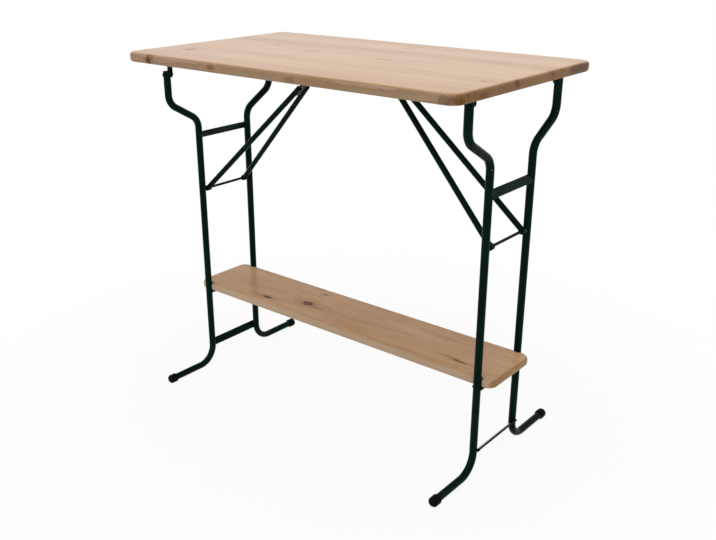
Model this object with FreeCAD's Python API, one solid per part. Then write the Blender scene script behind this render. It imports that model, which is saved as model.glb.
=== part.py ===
"""Folding bar table: wooden top, notched shelf, two bent-tube leg frames and two V braces.

Millimetres, +Z up.  X runs along the table, Y across it, the floor is z = 0 and the
origin is the middle of the footprint.  Both ends are built at +X and the left one is
mirrored.  The left hinge hangs lower than the right one, and its brace with it.
"""
import FreeCAD, Part
import math
import os

Vector = FreeCAD.Vector

# Boards
table_length = 1115.0
table_width = 650.0
table_height = 1065.0
board_thickness = 27.0
top_corner_radius = 35.0
top_edge_radius = 6.0
shelf_beyond_hinge = 44.0
shelf_width = 206.0
shelf_bottom = 271.0
shelf_corner_radius = 28.0
shelf_edge_radius = 10.0
notch_side_gap = 2.5
notch_depth_gap = 2.0
notch_corner_radius = 4.0

# Leg tubes
tube_diameter = 21.0
tube_wall = 1.5
hinge_from_end = 39.5
wide_y = 212.0
narrow_y = 104.0
hinge_below_top = 13.0
left_hinge_drop = 35.0
tube_above_hinge = 10.0
shoulder_below_hinge = 117.5
shoulder_angle = 60.0
shoulder_bend_radius = 45.0
foot_bend_radius = 58.0

# Foot caps
cap_radius = 14.0
cap_length = 26.0
cap_base = 3.5
cap_end_y = 297.0
cap_edge_radius = 8.0
push_fit = 0.02

# Cross members and shelf rests of a leg frame
bar_thickness = 5.0
bar_short_of_tube_axis = 5.0
upper_bar_below_top = 246.0
upper_bar_width = 24.0
upper_bar_tilt = 30.0
upper_bar_offset = 4.0
lower_bar_height = 74.5
lower_bar_width = 25.0
lower_bar_tilt = -45.0
lower_bar_offset = 7.0
weld_gap = 0.02
rest_length = 28.0
rest_width = 40.0
rest_thickness = 6.0
rest_beyond_tube_axis = 1.0

# Hinges under the top
strap_width = 34.0
strap_thickness = 4.0
ear_width = 20.0
ear_gap = 0.3
strap_screw_y = 155.0
bolt_radius = 5.0
bolt_head_radius = 6.5
bolt_head_height = 2.0
bolt_head_edge_radius = 1.6
nut_radius = 7.0
nut_height = 4.5

# V brace
rod_below_hinge = 372.0
rod_radius = 4.0
running_fit = 0.06
brace_reach = 376.0
brace_rise = 372.0
arm_diameter = 16.0
arm_wall = 1.5
arm_foot_y = 80.0
arm_head_y = 12.0
eye_radius = 9.0
eye_length = 17.0
arm_short_of_pin = 40.0
gusset_thickness = 5.0
gusset_margin = 2.0
gusset_shoulder = 6.0
web_length = 35.0
head_half_width = 6.0
head_neck = 16.0
head_radius = 8.0
pin_radius = 5.0
pin_beyond_cheek = 3.0

# Catch of the brace
catch_sheet = 3.0
catch_inner_half_width = 15.0
catch_wall = 3.0
catch_inward = 50.0
catch_outward = 30.0
slot_clearance = 0.3
slot_depth = 11.0
spring_sheet = 1.0
spring_half_width = 8.0
spring_gap = 0.7
spring_clamp_length = 22.0
spring_past_pin = 4.0
spring_lead_in = 8.0

# Wood screws
screw_shank_radius = 2.5
screw_head_radius = 6.0
screw_head_height = 3.0
screw_head_edge_radius = 2.0
screw_depth = 18.0
catch_screw_inset = 9.0
catch_screw_y = 8.0

# Largest error when edges are picked by their place
pick_tolerance = 0.001

# Sizes that follow from the ones above
underside = table_height - board_thickness
hinge_x = table_length / 2.0 - hinge_from_end
shelf_length = 2.0 * (hinge_x + shelf_beyond_hinge)
upper_bar_height = underside - upper_bar_below_top
tube_radius = tube_diameter / 2.0
brace_length = math.hypot(brace_reach, brace_rise)
pin_x = hinge_x - brace_reach
ear_outer_y = wide_y - tube_radius - ear_gap
ear_inner_y = ear_outer_y - strap_thickness
strap_seat = underside - strap_thickness
catch_seat = underside - catch_sheet
cheek_outer_y = catch_inner_half_width + catch_sheet

os.makedirs("parts", exist_ok=True)


def box(x_range, y_range, z_range):
    """Upright block from three (low, high) pairs."""
    size = [high - low for low, high in (x_range, y_range, z_range)]
    corner = Vector(x_range[0], y_range[0], z_range[0])
    return Part.makeBox(size[0], size[1], size[2], corner)


def round_bar(start, end, radius):
    """Round bar from one point to another."""
    axis = end.sub(start)
    return Part.makeCylinder(radius, axis.Length, start, axis)


def cross_bar(x, z, y_low, y_high, radius):
    """Round bar along Y."""
    return round_bar(Vector(x, y_low, z), Vector(x, y_high, z), radius)


def side_plate(points, y_low, y_high):
    """Plate cut to (x, z) points that fills the given Y range."""
    corners = [Vector(x, y_low, z) for x, z in points]
    face = Part.Face(Part.makePolygon(corners + corners[:1]))
    return face.extrude(Vector(0, y_high - y_low, 0))


def rounded_path(points, radii):
    """Wire through points, each inner corner rounded to its own radius."""
    edges = []
    start = points[0]
    for before, corner, after, radius in zip(points, points[1:], points[2:], radii):
        to_before = before.sub(corner).normalize()
        to_after = after.sub(corner).normalize()
        half_angle = to_before.getAngle(to_after) / 2.0
        setback = radius / math.tan(half_angle)
        arc_start = corner.add(to_before * setback)
        arc_end = corner.add(to_after * setback)
        bisector = to_before.add(to_after).normalize()
        arc_middle = corner.add(bisector * (radius / math.sin(half_angle) - radius))
        edges.append(Part.makeLine(start, arc_start))
        edges.append(Part.Arc(arc_start, arc_middle, arc_end).toShape())
        start = arc_end
    edges.append(Part.makeLine(start, points[-1]))
    return Part.Wire(edges)


def swept_round(path, points, radius):
    """Round section swept along a path through the points."""
    direction = points[1].sub(points[0])
    section = Part.Wire(Part.makeCircle(radius, points[0], direction))
    return path.makePipeShell([section], True, False)


def bent_strip(points, thickness, half_width):
    """Sheet strip bent along (x, z) points that mark its middle line."""
    half = thickness / 2.0
    pieces = []
    for (x_a, z_a), (x_b, z_b) in zip(points, points[1:]):
        run = Vector(x_b - x_a, 0, z_b - z_a).normalize()
        side = Vector(-run.z, 0, run.x) * half
        corners = [(x_a + side.x, z_a + side.z), (x_b + side.x, z_b + side.z),
                   (x_b - side.x, z_b - side.z), (x_a - side.x, z_a - side.z)]
        pieces.append(side_plate(corners, -half_width, half_width))
    for x, z in points[1:-1]:
        pieces.append(cross_bar(x, z, -half_width, half_width, half))
    return pieces[0].multiFuse(pieces[1:]).removeSplitter()


def upright_edges(shape):
    """Edges of a shape that stand straight up."""
    return [edge for edge in shape.Edges
            if edge.BoundBox.XLength < pick_tolerance and edge.BoundBox.YLength < pick_tolerance]


def rounded_board(length, width, bottom, corner_radius, edge_radius):
    """Board with rounded corners and eased edges, centred on the origin."""
    blank = box((-length / 2.0, length / 2.0), (-width / 2.0, width / 2.0),
                (bottom, bottom + board_thickness))
    blank = blank.makeFillet(corner_radius, upright_edges(blank))
    level = [edge for edge in blank.Edges if edge.BoundBox.ZLength < pick_tolerance]
    return blank.makeFillet(edge_radius, level)


def shelf_notch():
    """Space cut out of the shelf for the front tube of the +X frame."""
    half = tube_radius + notch_side_gap
    outer_y = -shelf_width
    inner_y = -narrow_y + tube_radius + notch_depth_gap
    notch = box((hinge_x - half, hinge_x + half), (outer_y, inner_y),
                (shelf_bottom, shelf_bottom + board_thickness))
    inner = [edge for edge in upright_edges(notch) if edge.BoundBox.YMin > -narrow_y]
    return notch.makeFillet(notch_corner_radius, inner)


def screw_up(x, y, seat):
    """Round-head wood screw driven upwards with its head under the seat."""
    head_bottom = seat - screw_head_height
    shank = Part.makeCylinder(screw_shank_radius, screw_depth, Vector(x, y, seat))
    head = Part.makeCylinder(screw_head_radius, screw_head_height, Vector(x, y, head_bottom))
    rim = [edge for edge in head.Edges if edge.BoundBox.ZMax < head_bottom + pick_tolerance]
    return shank.fuse(head.makeFillet(screw_head_edge_radius, rim))


def screw_hole(x, y, seat):
    """Space that a driven screw takes in the pieces it holds."""
    return Part.makeCylinder(screw_shank_radius + push_fit, screw_depth + push_fit, Vector(x, y, seat))


def mirrored_in_x(shape):
    """Copy at the other end."""
    return shape.mirror(Vector(0, 0, 0), Vector(1, 0, 0))


def mirrored_in_y(shape):
    """Copy on the other long side."""
    return shape.mirror(Vector(0, 0, 0), Vector(0, 1, 0))


class TableEnd:
    """Everything at one end, built at +X from the height of its hinge."""

    def __init__(self, hinge_z):
        self.hinge_z = hinge_z
        self.rod_z = hinge_z - rod_below_hinge
        self.pin_z = self.rod_z + brace_rise
        outer_screw_x = pin_x + catch_outward - catch_screw_inset
        inner_screw_x = pin_x - catch_inward + catch_screw_inset
        self.strap_screws = [(hinge_x, y, strap_seat) for y in (-strap_screw_y, 0.0, strap_screw_y)]
        self.catch_screws = [(outer_screw_x, -catch_screw_y, catch_seat),
                             (outer_screw_x, catch_screw_y, catch_seat),
                             (inner_screw_x, 0.0, catch_seat - spring_sheet)]

    def leg_tube(self):
        """Bent front tube with its bolt hole and the hole for the brace rod."""
        shoulder_z = self.hinge_z - shoulder_below_hinge
        half_drop = (wide_y - narrow_y) / math.tan(math.radians(shoulder_angle)) / 2.0
        points = [Vector(hinge_x, -wide_y, self.hinge_z + tube_above_hinge),
                  Vector(hinge_x, -wide_y, shoulder_z + half_drop),
                  Vector(hinge_x, -narrow_y, shoulder_z - half_drop),
                  Vector(hinge_x, -narrow_y, cap_radius),
                  Vector(hinge_x, -cap_end_y + cap_base, cap_radius)]
        radii = [shoulder_bend_radius, shoulder_bend_radius, foot_bend_radius]
        path = rounded_path(points, radii)
        outside = swept_round(path, points, tube_radius)
        inside = swept_round(path, points, tube_radius - tube_wall)
        bolt_hole = cross_bar(hinge_x, self.hinge_z, -wide_y - tube_diameter, -wide_y + tube_diameter,
                              bolt_radius + running_fit)
        rod_hole = cross_bar(hinge_x, self.rod_z, -narrow_y, 0.0, rod_radius + push_fit)
        return outside.cut(inside).cut(bolt_hole).cut(rod_hole)

    def foot_cap(self):
        """Rubber cap over the front foot's end, open towards the leg."""
        open_y = -cap_end_y + cap_length
        cap = cross_bar(hinge_x, cap_radius, -cap_end_y, open_y, cap_radius)
        rim = [edge for edge in cap.Edges if edge.BoundBox.YMax < -cap_end_y + pick_tolerance]
        cap = cap.makeFillet(cap_edge_radius, rim)
        socket = cross_bar(hinge_x, cap_radius, -cap_end_y + cap_base, open_y, tube_radius + push_fit)
        return cap.cut(socket)

    def tilted_bar(self, height, width, tilt, offset):
        """Flat bar between the tubes, its ends shaped to their round sides."""
        end_y = narrow_y - bar_short_of_tube_axis
        bar = box((-bar_thickness / 2.0, bar_thickness / 2.0), (-end_y, end_y),
                  (-width / 2.0, width / 2.0))
        bar.rotate(Vector(0, 0, 0), Vector(0, 1, 0), -tilt)
        bar.translate(Vector(hinge_x + offset, 0, height))
        for y in (-narrow_y, narrow_y):
            foot = Vector(hinge_x, y, height - width)
            bar = bar.cut(Part.makeCylinder(tube_radius + weld_gap, 2.0 * width, foot))
        return max(bar.Solids, key=lambda solid: solid.Volume)

    def shelf_rest(self):
        """Plate welded to the front tube under the shelf."""
        outer_y = -narrow_y - rest_beyond_tube_axis
        bottom = shelf_bottom - rest_thickness
        plate = box((hinge_x - rest_length / 2.0, hinge_x + rest_length / 2.0),
                    (outer_y, outer_y + rest_width), (bottom, shelf_bottom))
        foot = Vector(hinge_x, -narrow_y, bottom)
        return plate.cut(Part.makeCylinder(tube_radius + weld_gap, rest_thickness, foot))

    def brace_rod(self):
        """Round bar across the frame that the brace turns on."""
        return cross_bar(hinge_x, self.rod_z, -narrow_y, narrow_y, rod_radius)

    def along_brace(self, distance, y):
        """Point in the brace's middle plane at a distance from the rod."""
        share = distance / brace_length
        return Vector(hinge_x - brace_reach * share, y, self.rod_z + brace_rise * share)

    def arm_y(self, distance):
        """Distance of an arm's middle line from the table's middle."""
        return arm_foot_y + (arm_head_y - arm_foot_y) * distance / brace_length

    def brace_slab(self, outline, thickness):
        """Plate in the brace's middle plane from (distance, y) corners."""
        normal = Vector(brace_rise, 0, brace_reach).normalize()
        corners = [self.along_brace(distance, y) for distance, y in outline]
        face = Part.Face(Part.makePolygon(corners + corners[:1]))
        face.translate(normal * (-thickness / 2.0))
        return face.extrude(normal * thickness)

    def brace_arm(self):
        """Front tube of the V with the eye that turns on the rod."""
        end = brace_length - arm_short_of_pin
        foot = self.along_brace(0.0, -arm_foot_y)
        head = self.along_brace(brace_length, -arm_head_y)
        hollow_start = self.along_brace(eye_radius, -self.arm_y(eye_radius))
        eye = cross_bar(hinge_x, self.rod_z, -arm_foot_y - eye_length / 2.0,
                        -arm_foot_y + eye_length / 2.0, eye_radius)
        tube = round_bar(foot, head, arm_diameter / 2.0)
        hollow = round_bar(hollow_start, head, arm_diameter / 2.0 - arm_wall)
        bore = cross_bar(hinge_x, self.rod_z, -narrow_y, 0.0, rod_radius + running_fit)
        beyond = [(end, -narrow_y), (brace_length + arm_diameter, -narrow_y),
                  (brace_length + arm_diameter, narrow_y), (end, narrow_y)]
        trim = self.brace_slab(beyond, 2.0 * arm_diameter)
        return tube.fuse(eye).cut(hollow).cut(bore).cut(trim)

    def brace_web(self, base):
        """Plate that fills the narrow end of the V between the arms."""
        start = base - web_length
        corners = [(start, -self.arm_y(start)), (base, -self.arm_y(base)),
                   (base, self.arm_y(base)), (start, self.arm_y(start))]
        web = self.brace_slab(corners, gusset_thickness)
        for side in (-1.0, 1.0):
            foot = self.along_brace(0.0, side * arm_foot_y)
            head = self.along_brace(brace_length, side * arm_head_y)
            web = web.cut(round_bar(foot, head, arm_diameter / 2.0 + weld_gap))
        return web

    def brace_gusset(self):
        """Plate that joins the two arms and carries the cross pin."""
        base = brace_length - arm_short_of_pin
        wide = self.arm_y(base) + arm_diameter / 2.0 - gusset_margin
        half_outline = [(base, wide), (base + gusset_shoulder, wide),
                        (brace_length - head_neck, head_half_width), (brace_length, head_half_width)]
        other_half = [(distance, -y) for distance, y in reversed(half_outline)]
        plate = self.brace_slab(half_outline + other_half, gusset_thickness)
        head = cross_bar(pin_x, self.pin_z, -head_half_width, head_half_width, head_radius)
        hole = cross_bar(pin_x, self.pin_z, -head_half_width, head_half_width, pin_radius + push_fit)
        return plate.multiFuse([head, self.brace_web(base)]).cut(hole).removeSplitter()

    def brace_pin(self):
        """Cross pin that the catch holds."""
        end = cheek_outer_y + pin_beyond_cheek
        return cross_bar(pin_x, self.pin_z, -end, end, pin_radius)

    def hinge_strap(self):
        """Strap under the top whose ends turn down into the hinge ears."""
        strap = box((hinge_x - strap_width / 2.0, hinge_x + strap_width / 2.0),
                    (-ear_outer_y, ear_outer_y), (strap_seat, underside))
        half = ear_width / 2.0
        for low in (-ear_outer_y, ear_inner_y):
            high = low + strap_thickness
            shank = box((hinge_x - half, hinge_x + half), (low, high), (self.hinge_z, underside))
            end = cross_bar(hinge_x, self.hinge_z, low, high, half)
            hole = cross_bar(hinge_x, self.hinge_z, low, high, bolt_radius + push_fit)
            ear = shank.fuse(end).common(box((hinge_x - half, hinge_x + half), (low, high),
                                             (self.hinge_z - half, underside)))
            strap = strap.fuse(ear).cut(hole)
        for x, y, seat in self.strap_screws:
            strap = strap.cut(screw_hole(x, y, seat))
        return strap.removeSplitter()

    def pivot_bolt(self):
        """Front hinge bolt: domed head outside the tube, nut inside the ear."""
        head_y = -wide_y - tube_radius - ear_gap
        crown_y = head_y - bolt_head_height
        shank = cross_bar(hinge_x, self.hinge_z, head_y, -ear_inner_y + nut_height, bolt_radius)
        head = cross_bar(hinge_x, self.hinge_z, crown_y, head_y, bolt_head_radius)
        rim = [edge for edge in head.Edges if edge.BoundBox.YMax < crown_y + pick_tolerance]
        head = head.makeFillet(bolt_head_edge_radius, rim)
        turns = [math.radians(60.0 * corner) for corner in range(6)]
        corners = [(hinge_x + nut_radius * math.cos(turn), self.hinge_z + nut_radius * math.sin(turn))
                   for turn in turns]
        nut = side_plate(corners, -ear_inner_y, -ear_inner_y + nut_height)
        return shank.multiFuse([head, nut]).removeSplitter()

    def exit_point(self, ahead, aside):
        """Point (x, z) ahead of the pin along its way out and aside along the brace."""
        along = (brace_reach / brace_length, -brace_rise / brace_length)
        out = (-brace_rise / brace_length, -brace_reach / brace_length)
        return (pin_x + ahead * out[0] + aside * along[0], self.pin_z + ahead * out[1] + aside * along[1])

    def catch_bracket(self):
        """Sheet bracket whose two cheeks hold the brace pin in slots open to its way out."""
        slot_half = pin_radius + slot_clearance
        cheek_half = slot_half + catch_wall
        base = box((pin_x - catch_inward, pin_x + catch_outward), (-cheek_outer_y, cheek_outer_y),
                   (catch_seat, underside))
        inner_lip = self.exit_point(slot_depth, -cheek_half)
        outer_lip = self.exit_point(slot_depth, cheek_half)
        outer_back = self.exit_point(0.0, cheek_half)
        outline = [(inner_lip[0], underside), inner_lip, outer_lip, outer_back,
                   (pin_x + catch_outward, underside)]
        slot = [self.exit_point(0.0, -slot_half), self.exit_point(2.0 * slot_depth, -slot_half),
                self.exit_point(2.0 * slot_depth, slot_half), self.exit_point(0.0, slot_half)]
        bracket = base
        for low in (-cheek_outer_y, catch_inner_half_width):
            cheek = side_plate(outline, low, low + catch_sheet)
            cheek = cheek.cut(cross_bar(pin_x, self.pin_z, low, low + catch_sheet, slot_half))
            bracket = bracket.fuse(cheek.cut(side_plate(slot, low, low + catch_sheet)))
        for x, y, seat in self.catch_screws:
            bracket = bracket.cut(screw_hole(x, y, seat))
        return bracket.removeSplitter()

    def catch_spring(self):
        """Leaf spring that crosses the way out and snaps behind the brace head."""
        half = spring_sheet / 2.0
        ahead = head_radius + spring_gap + half
        clamp_z = catch_seat - half
        clamp_x = pin_x - catch_inward
        points = [(clamp_x, clamp_z), (clamp_x + spring_clamp_length, clamp_z),
                  self.exit_point(ahead, -head_radius), self.exit_point(ahead, spring_past_pin),
                  self.exit_point(ahead + spring_lead_in, spring_past_pin)]
        spring = bent_strip(points, spring_sheet, spring_half_width)
        for x, y, seat in self.catch_screws:
            spring = spring.cut(screw_hole(x, y, seat))
        return spring

    def pieces(self):
        """Every piece of this end by its plain name."""
        tube = self.leg_tube()
        cap = self.foot_cap()
        rest = self.shelf_rest()
        arm = self.brace_arm()
        bolt = self.pivot_bolt()
        return {"hinge_strap": self.hinge_strap(),
                "strap_screws": Part.makeCompound([screw_up(*place) for place in self.strap_screws]),
                "pivot_bolts": Part.makeCompound([bolt, mirrored_in_y(bolt)]),
                "front_leg_tube": tube,
                "back_leg_tube": mirrored_in_y(tube),
                "front_foot_cap": cap,
                "back_foot_cap": mirrored_in_y(cap),
                "front_shelf_rest": rest,
                "back_shelf_rest": mirrored_in_y(rest),
                "upper_bar": self.tilted_bar(upper_bar_height, upper_bar_width,
                                             upper_bar_tilt, upper_bar_offset),
                "lower_bar": self.tilted_bar(lower_bar_height, lower_bar_width,
                                             lower_bar_tilt, lower_bar_offset),
                "brace_rod": self.brace_rod(),
                "front_brace_arm": arm,
                "back_brace_arm": mirrored_in_y(arm),
                "brace_gusset": self.brace_gusset(),
                "brace_pin": self.brace_pin(),
                "catch_bracket": self.catch_bracket(),
                "catch_spring": self.catch_spring(),
                "catch_screws": Part.makeCompound([screw_up(*place) for place in self.catch_screws])}

    def top_holes(self):
        """Holes that this end's screws need in the top."""
        return [screw_hole(*place) for place in self.strap_screws + self.catch_screws]


def write(node, shape):
    """Write one node's shape to the parts folder."""
    shape.exportStep(os.path.join("parts", node + ".step"))


right_hinge_z = underside - hinge_below_top
right_end = TableEnd(right_hinge_z)
left_end = TableEnd(right_hinge_z - left_hinge_drop)

for piece, piece_shape in right_end.pieces().items():
    write("right_" + piece, piece_shape)
for piece, piece_shape in left_end.pieces().items():
    write("left_" + piece, mirrored_in_x(piece_shape))

tabletop = rounded_board(table_length, table_width, underside, top_corner_radius, top_edge_radius)
for hole in right_end.top_holes() + [mirrored_in_x(hole) for hole in left_end.top_holes()]:
    tabletop = tabletop.cut(hole)
write("tabletop", tabletop)

shelf = rounded_board(shelf_length, shelf_width, shelf_bottom, shelf_corner_radius, shelf_edge_radius)
front_right_notch = shelf_notch()
for notch in (front_right_notch, mirrored_in_y(front_right_notch)):
    shelf = shelf.cut(notch).cut(mirrored_in_x(notch))
write("shelf", shelf)
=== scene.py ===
"""Folding bar table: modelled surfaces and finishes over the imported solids, in a pale studio."""
import logging
import math
from dataclasses import dataclass
from enum import Enum
from typing import Any, Iterable, Sequence

import bmesh
import bpy
from mathutils import Matrix, Vector


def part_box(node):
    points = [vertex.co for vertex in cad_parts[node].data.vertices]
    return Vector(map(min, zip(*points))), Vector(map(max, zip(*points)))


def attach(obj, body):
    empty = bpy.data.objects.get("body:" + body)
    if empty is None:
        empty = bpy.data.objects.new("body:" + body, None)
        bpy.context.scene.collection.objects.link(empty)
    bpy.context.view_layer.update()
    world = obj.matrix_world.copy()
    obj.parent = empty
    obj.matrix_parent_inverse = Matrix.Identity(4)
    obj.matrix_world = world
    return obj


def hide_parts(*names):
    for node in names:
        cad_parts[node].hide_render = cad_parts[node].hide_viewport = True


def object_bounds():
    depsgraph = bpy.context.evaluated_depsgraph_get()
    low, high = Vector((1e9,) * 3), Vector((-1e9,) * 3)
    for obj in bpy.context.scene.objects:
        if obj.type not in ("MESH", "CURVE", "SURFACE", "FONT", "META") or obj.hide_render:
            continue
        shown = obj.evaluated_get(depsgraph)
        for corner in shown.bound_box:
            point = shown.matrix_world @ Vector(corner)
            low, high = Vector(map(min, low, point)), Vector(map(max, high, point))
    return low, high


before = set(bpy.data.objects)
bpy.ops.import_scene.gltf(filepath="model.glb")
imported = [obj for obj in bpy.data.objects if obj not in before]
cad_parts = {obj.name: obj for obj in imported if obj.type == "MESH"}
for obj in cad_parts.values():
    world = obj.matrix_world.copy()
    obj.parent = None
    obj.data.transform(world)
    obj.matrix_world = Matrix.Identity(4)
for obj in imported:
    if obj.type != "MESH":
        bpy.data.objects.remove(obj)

CAD_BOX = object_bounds()
LOG = logging.getLogger("bar_table")

# Points round a full circle: main pieces, thin rods, weld loops.
ROUND_STEPS = 32
THIN_STEPS = 20
LOOP_STEPS = 12
# Steps in a bend of a route, and in the rounding of an edge.
ARC_STEPS = 14
EDGE_STEPS = 6
SHARP_ANGLE = math.radians(38.0)
FINE_DETAIL = 3.0

# Sizes that several pieces share, in metres.
HINGE_X = 0.518
ROD_DROP = 0.372
LENGTHWAYS = Vector((1.0, 0.0, 0.0))
CROSSWAYS = Vector((0.0, 1.0, 0.0))
BOTH_WAYS = (-1.0, 1.0)

Material = bpy.types.Material
Socket = bpy.types.NodeSocket
Section = list[Vector]
Pairs = list[tuple[float, float]]
Span = tuple[float, float]
Triple = tuple[float, float, float]
Colour = tuple[float, float, float, float]
WHITE: Colour = (1.0, 1.0, 1.0, 1.0)


class Side(Enum):
    """The two ends of the table."""

    LEFT = "left"
    RIGHT = "right"

    @property
    def sign(self) -> float:
        """Direction of this end along X."""
        return -1.0 if self is Side.LEFT else 1.0

    def node(self, piece: str) -> str:
        """Name of this end's CAD node for a piece."""
        return f"{self.value}_{piece}"


class Row(Enum):
    """The two long sides of the table."""

    FRONT = "front"
    BACK = "back"

    @property
    def sign(self) -> float:
        """Direction of this long side along Y."""
        return -1.0 if self is Row.FRONT else 1.0


class Body(Enum):
    """The rigid bodies that pieces ride on."""

    TABLE_FRAME = "table_frame"
    LEFT_BRACE = "left_brace"
    RIGHT_BRACE = "right_brace"
    SHELF_BOARD = "shelf_board"

    @staticmethod
    def brace(side: Side) -> "Body":
        """Body of the brace at one end."""
        return Body.LEFT_BRACE if side is Side.LEFT else Body.RIGHT_BRACE


class Slot(Enum):
    """The CAD slots that a piece's finish belongs to."""

    PINE = "varnished_pine"
    PAINT = "green_paint"
    RUBBER = "black_rubber"
    ZINC = "zinc_steel"


class Graph:
    """Short way to add and wire the nodes of one tree."""

    def __init__(self, tree: bpy.types.NodeTree) -> None:
        """Keep the tree that nodes go into."""
        self.tree = tree

    def add(self, kind: str, inputs: dict[Any, Any] | None = None, **settings: Any) -> bpy.types.Node:
        """Add a node.

        Args:
            kind: Blender's name of the node type.
            inputs: Socket name or index to a value or to the socket that feeds it.
            settings: Properties of the node itself.

        Returns:
            The new node.
        """
        node = self.tree.nodes.new(kind)
        for name, value in settings.items():
            setattr(node, name, value)
        for key, value in (inputs or {}).items():
            self.feed(node.inputs[key], value)
        return node

    def feed(self, socket: Socket, value: Any) -> None:
        """Fill an input socket.

        Args:
            socket: The input to fill.
            value: A constant, or the output socket to link from.
        """
        if isinstance(value, Socket):
            self.tree.links.new(value, socket)
        else:
            socket.default_value = value

    def math(self, operation: str, *values: Any) -> Socket:
        """Result of a Math node on constants and sockets."""
        return self.add("ShaderNodeMath", dict(enumerate(values)), operation=operation).outputs[0]

    def plus(self, first: Any, second: Any) -> Socket:
        """Sum of two values."""
        return self.math("ADD", first, second)

    def times(self, first: Any, second: Any) -> Socket:
        """Product of two values."""
        return self.math("MULTIPLY", first, second)

    def centred(self, value: Any) -> Socket:
        """A value of about 0 to 1, moved to lie round zero."""
        return self.math("SUBTRACT", value, 0.5)

    def fade(self, value: Any, span: Span) -> Socket:
        """Smooth step that is 0 at the first end of a span and 1 at the other."""
        inputs = {"Value": value, "From Min": span[0], "From Max": span[1]}
        return self.add("ShaderNodeMapRange", inputs, interpolation_type="SMOOTHSTEP").outputs["Result"]

    def mix(self, factor: Any, first: Any, second: Any, blend: str = "MIX") -> Socket:
        """Two colours, inputs 6 and 7 of the node, mixed by a factor."""
        inputs = {0: factor, 6: first, 7: second}
        return self.add("ShaderNodeMix", inputs, data_type="RGBA", blend_type=blend).outputs[2]

    def tinted(self, factor: Any, colour: Any, tint: Colour) -> Socket:
        """A colour multiplied by a tint where a factor is 1."""
        return self.mix(factor, colour, self.mix(1.0, colour, tint, "MULTIPLY"))

    def parts(self, vector: Any) -> Any:
        """The three coordinates of a vector."""
        return self.add("ShaderNodeSeparateXYZ", {0: vector}).outputs

    def joined(self, x: Any, y: Any, z: Any) -> Socket:
        """A vector from three coordinates."""
        return self.add("ShaderNodeCombineXYZ", {0: x, 1: y, 2: z}).outputs[0]

    def noise(self, vector: Any, scale: float, detail: float = 2.0) -> Socket:
        """Value of a noise texture, about 0 to 1."""
        inputs = {"Vector": vector, "Scale": scale, "Detail": detail}
        return self.add("ShaderNodeTexNoise", inputs).outputs["Fac"]

    def streaks(self, vector: Any, stretch: Triple, detail: float = 2.0) -> Socket:
        """Value of a noise that is stretched by a scale on each axis."""
        stretched = self.add("ShaderNodeMapping", {"Vector": vector, "Scale": stretch}).outputs[0]
        return self.noise(stretched, 1.0, detail)


class Surface(Graph):
    """Graph of a material, with its shader and the place on the piece."""

    def __init__(self, material: Material) -> None:
        """Take a new material's tree and its shader.

        Args:
            material: Material with the nodes that it starts with.
        """
        super().__init__(material.node_tree)
        self.shader = material.node_tree.nodes["Principled BSDF"]
        self.place = self.add("ShaderNodeTexCoord").outputs["Object"]

    def give(self, name: str, value: Any) -> None:
        """Fill an input of the shader."""
        self.feed(self.shader.inputs[name], value)

    def relief(self, height: Any, strength: float, distance: float) -> None:
        """Let a height field tilt the shader's normals."""
        inputs = {"Height": height, "Strength": strength, "Distance": distance}
        self.give("Normal", self.add("ShaderNodeBump", inputs).outputs[0])


@dataclass(frozen=True)
class Finish:
    """A surface finish that becomes one material."""

    name: str

    def material(self) -> Material:
        """Build the material.

        Returns:
            A node material with this finish's surface.
        """
        material = bpy.data.materials.new(self.name)
        material.use_nodes = True
        self.dress(Surface(material))
        return material

    def dress(self, graph: Surface) -> None:
        """Wire the surface into the shader; each finish has its own."""
        raise NotImplementedError


@dataclass(frozen=True)
class Knot:
    """A knot that runs through a board.

    Attributes:
        x, y: Place on the board in metres.
        length, width: Half sizes along and across the grain.
        depth: How dark it is, 0 to 1.
        z: Height of its middle.
        tall: Half size in height; large ones go through the board.
    """

    x: float
    y: float
    length: float
    width: float
    depth: float
    z: float = 0.0
    tall: float = 100.0


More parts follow.
